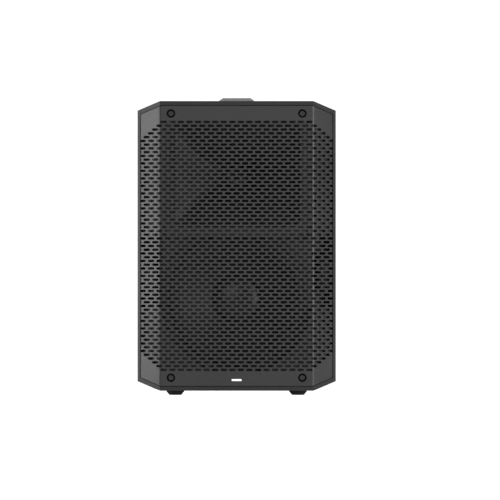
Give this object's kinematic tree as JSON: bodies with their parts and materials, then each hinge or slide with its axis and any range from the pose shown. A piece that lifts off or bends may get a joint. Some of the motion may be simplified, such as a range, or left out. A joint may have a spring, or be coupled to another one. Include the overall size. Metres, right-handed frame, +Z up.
{
  "type": "powered loudspeaker cabinet",
  "caption": "Compact two-way powered loudspeaker with a faceted perforated front grille, horn tweeter, woofer, top handle, pole socket and rear amplifier panel.",
  "frame": {"origin": "on the floor under the middle of the cabinet", "axes": "+Z up, -Y out of the grille, +X to the right as seen from the front"},
  "size_m": [0.278, 0.266, 0.4168],
  "materials": {
    "shell_plastic": "charcoal moulded polypropylene, fine leather-like grain, satin",
    "dark_plastic": "near black moulded plastic, satin",
    "handle_plastic": "mid grey moulded grip, satin",
    "grille_paint": "dark grey powder-coated perforated steel, matt",
    "panel_paint": "black powder-coated panel, fine texture",
    "frame_paint": "black painted pressed steel",
    "knob_plastic": "dark grey knob plastic with a pale pointer line",
    "jack_plastic": "black socket plastic",
    "foot_rubber": "black rubber, matt",
    "surround_rubber": "black surround, soft matt",
    "cone_paper": "black coated paper pulp",
    "cap_paper": "black dust cap, slight gloss",
    "spider_cloth": "yellow-brown resin-treated cloth",
    "coil_copper": "copper winding on a brown former",
    "ferrite": "dark sintered ferrite",
    "zinc_steel": "zinc plated steel",
    "screw_steel": "dark zinc plated screw steel",
    "black_steel": "blackened screws",
    "heat_aluminium": "plain extruded aluminium",
    "diaphragm_metal": "thin titanium-like dome, bright",
    "brass": "machined brass",
    "board": "green circuit board",
    "part_plastic": "sleeved capacitors, taped transformer and wound coils",
    "lens": "white diffusing light bar",
    "gasket_foam": "black closed-cell foam",
    "wadding": "grey acoustic wadding",
    "wire_cover": "red and black wire insulation"
  },
  "bodies": {
    "cabinet": {"front_shell": "shell_plastic", "rear_shell": "shell_plastic", "shell_screws": "black_steel", "front_grille": "grille_paint", "grille_washers": "dark_plastic", "grille_screws": "screw_steel", "status_light_lens": "lens", "status_light_board": "board", "handle_cup": "shell_plastic", "handle_bar": "handle_plastic", "fixing_screws": "screw_steel", "feet": "foot_rubber", "foot_screws": "screw_steel", "pole_socket": "dark_plastic", "bracket_inserts": "brass", "port_tubes": "dark_plastic", "damping_pads": "wadding", "speaker_wires": "wire_cover", "woofer_frame": "frame_paint", "woofer_gasket": "gasket_foam", "woofer_screws": "black_steel", "woofer_surround": "surround_rubber", "woofer_spider": "spider_cloth", "woofer_top_plate": "zinc_steel", "woofer_magnet": "ferrite", "woofer_yoke": "zinc_steel", "woofer_terminals": "brass", "horn": "dark_plastic", "horn_screws": "black_steel", "tweeter_front_plate": "zinc_steel", "tweeter_phase_plug": "dark_plastic", "tweeter_magnet": "ferrite", "tweeter_yoke": "zinc_steel", "tweeter_cover": "dark_plastic", "tweeter_bolts": "screw_steel", "amp_panel": "panel_paint", "panel_gasket": "gasket_foam", "panel_screws": "black_steel", "heat_sink": "heat_aluminium", "amp_board": "board", "power_parts": "part_plastic", "input_board": "board", "board_standoffs": "brass", "input_jacks": "jack_plastic", "output_jack": "jack_plastic", "aux_jack": "jack_plastic", "control_pots": "zinc_steel", "power_inlet": "jack_plastic", "panel_lights": "lens"},
    "woofer_moving": {"woofer_cone": "cone_paper", "woofer_dust_cap": "cap_paper", "woofer_voice_coil": "coil_copper"},
    "tweeter_moving": {"tweeter_diaphragm": "diaphragm_metal"},
    "latch_1": {"jack_latch_1": "zinc_steel"},
    "latch_2": {"jack_latch_2": "zinc_steel"},
    "gain_1": {"gain_knob_1": "knob_plastic"},
    "gain_2": {"gain_knob_2": "knob_plastic"},
    "master": {"master_knob": "knob_plastic"},
    "mode": {"mode_button": "knob_plastic"},
    "switch": {"power_switch": "jack_plastic"}
  },
  "joints": [
    {"name": "woofer_stroke", "type": "slide", "parent": "cabinet", "child": "woofer_moving", "axis": [0, -1, 0], "range_m": [-0.004, 0.004], "stiffness_N_per_m": 1500, "deforming": ["woofer_surround", "woofer_spider"]},
    {"name": "tweeter_stroke", "type": "slide", "parent": "cabinet", "child": "tweeter_moving", "axis": [0, -1, 0], "range_m": [-0.0003, 0.0003], "stiffness_N_per_m": 300},
    {"name": "latch_1_press", "type": "slide", "parent": "cabinet", "child": "latch_1", "axis": [0, -1, 0], "range_m": [0, 0.002], "stiffness_N_per_m": 200},
    {"name": "latch_2_press", "type": "slide", "parent": "cabinet", "child": "latch_2", "axis": [0, -1, 0], "range_m": [0, 0.002], "stiffness_N_per_m": 200},
    {"name": "gain_1_turn", "type": "hinge", "parent": "cabinet", "child": "gain_1", "pos_m": [-0.04, 0.121, 0.277], "axis": [0, 1, 0], "range_deg": [-150, 150]},
    {"name": "gain_2_turn", "type": "hinge", "parent": "cabinet", "child": "gain_2", "pos_m": [0, 0.121, 0.277], "axis": [0, 1, 0], "range_deg": [-150, 150]},
    {"name": "master_turn", "type": "hinge", "parent": "cabinet", "child": "master", "pos_m": [0.04, 0.121, 0.277], "axis": [0, 1, 0], "range_deg": [-150, 150]},
    {"name": "mode_press", "type": "slide", "parent": "cabinet", "child": "mode", "axis": [0, -1, 0], "range_m": [0, 0.0015], "stiffness_N_per_m": 200},
    {"name": "switch_rock", "type": "hinge", "parent": "cabinet", "child": "switch", "pos_m": [0.024, 0.118, 0.089], "axis": [1, 0, 0], "range_deg": [0, 14]}
  ]
}
